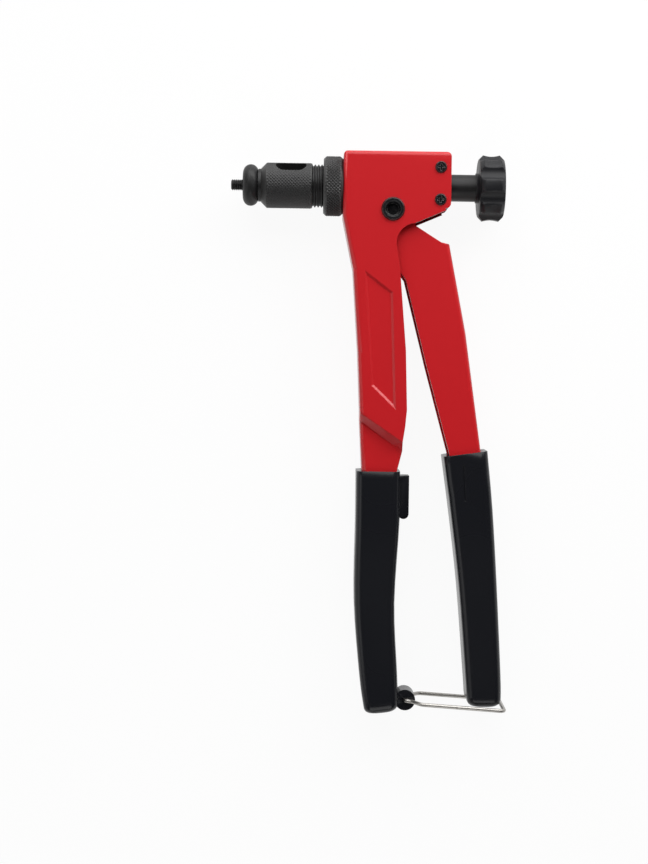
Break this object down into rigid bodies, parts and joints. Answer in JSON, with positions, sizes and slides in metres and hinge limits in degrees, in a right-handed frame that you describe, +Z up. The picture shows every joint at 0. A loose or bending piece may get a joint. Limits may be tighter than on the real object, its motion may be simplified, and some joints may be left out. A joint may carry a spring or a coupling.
{
  "type": "rivet nut tool",
  "caption": "Hand tool that sets rivet nuts: folded steel head and handle, hinged lever, soft grips, windowed nose with a threaded mandrel, turning knob behind and a wire bail",
  "frame": {"origin": "middle of the nosepiece's front face, on the nose axis", "axes": "+X runs along the nose from the nosepiece to the knob, +Y from the handles to the head, +Z up through the thickness as the tool lies on its side"},
  "size_m": [0.1504, 0.2988, 0.0354],
  "materials": {
    "red_paint": "gloss enamel on folded steel",
    "black_steel": "black oxide, satin, knurled where gripped",
    "bright_steel": "bright zinc plate",
    "knob_plastic": "satin moulded plastic",
    "grip_vinyl": "soft gloss vinyl"
  },
  "bodies": {
    "frame": {"frame": "red_paint", "nose_bush": "black_steel", "lock_nut": "black_steel", "nose_sleeve": "black_steel", "nosepiece": "black_steel", "rear_guide": "black_steel", "rear_screws": "black_steel", "pivot_pin": "black_steel", "pivot_spacers": "bright_steel", "fixed_grip": "grip_vinyl", "return_spring": "bright_steel"},
    "lever": {"lever": "red_paint", "lever_grip": "grip_vinyl", "drive_studs": "bright_steel"},
    "drawbar": {"drawbar": "bright_steel"},
    "spindle": {"mandrel": "black_steel", "joining_pin": "bright_steel", "spindle": "bright_steel", "thrust_washer": "bright_steel", "knob_stem": "black_steel", "knob": "knob_plastic", "knob_screw": "black_steel"},
    "bail": {"bail": "bright_steel"}
  },
  "joints": [
    {"name": "lever_squeeze", "type": "hinge", "parent": "frame", "child": "lever", "pos_m": [0.0801, -0.013, 0], "axis": [0, 0, 1], "range_deg": [-5, 22]},
    {"name": "drawbar_slide", "type": "slide", "parent": "frame", "child": "drawbar", "axis": [1, 0, 0], "range_m": [-0.0051, 0.0012], "deforming": ["return_spring"]},
    {"name": "spindle_turn", "type": "hinge", "parent": "drawbar", "child": "spindle", "pos_m": [0.0801, 0, 0], "axis": [1, 0, 0], "continuous": true},
    {"name": "bail_swing", "type": "hinge", "parent": "frame", "child": "bail", "pos_m": [0.0907, -0.274, 0], "axis": [0, 0, 1], "range_deg": [-86, 7]}
  ],
  "couplings": [
    {"joint": "drawbar_slide", "follows": "lever_squeeze", "m_per_rad": -0.013}
  ]
}
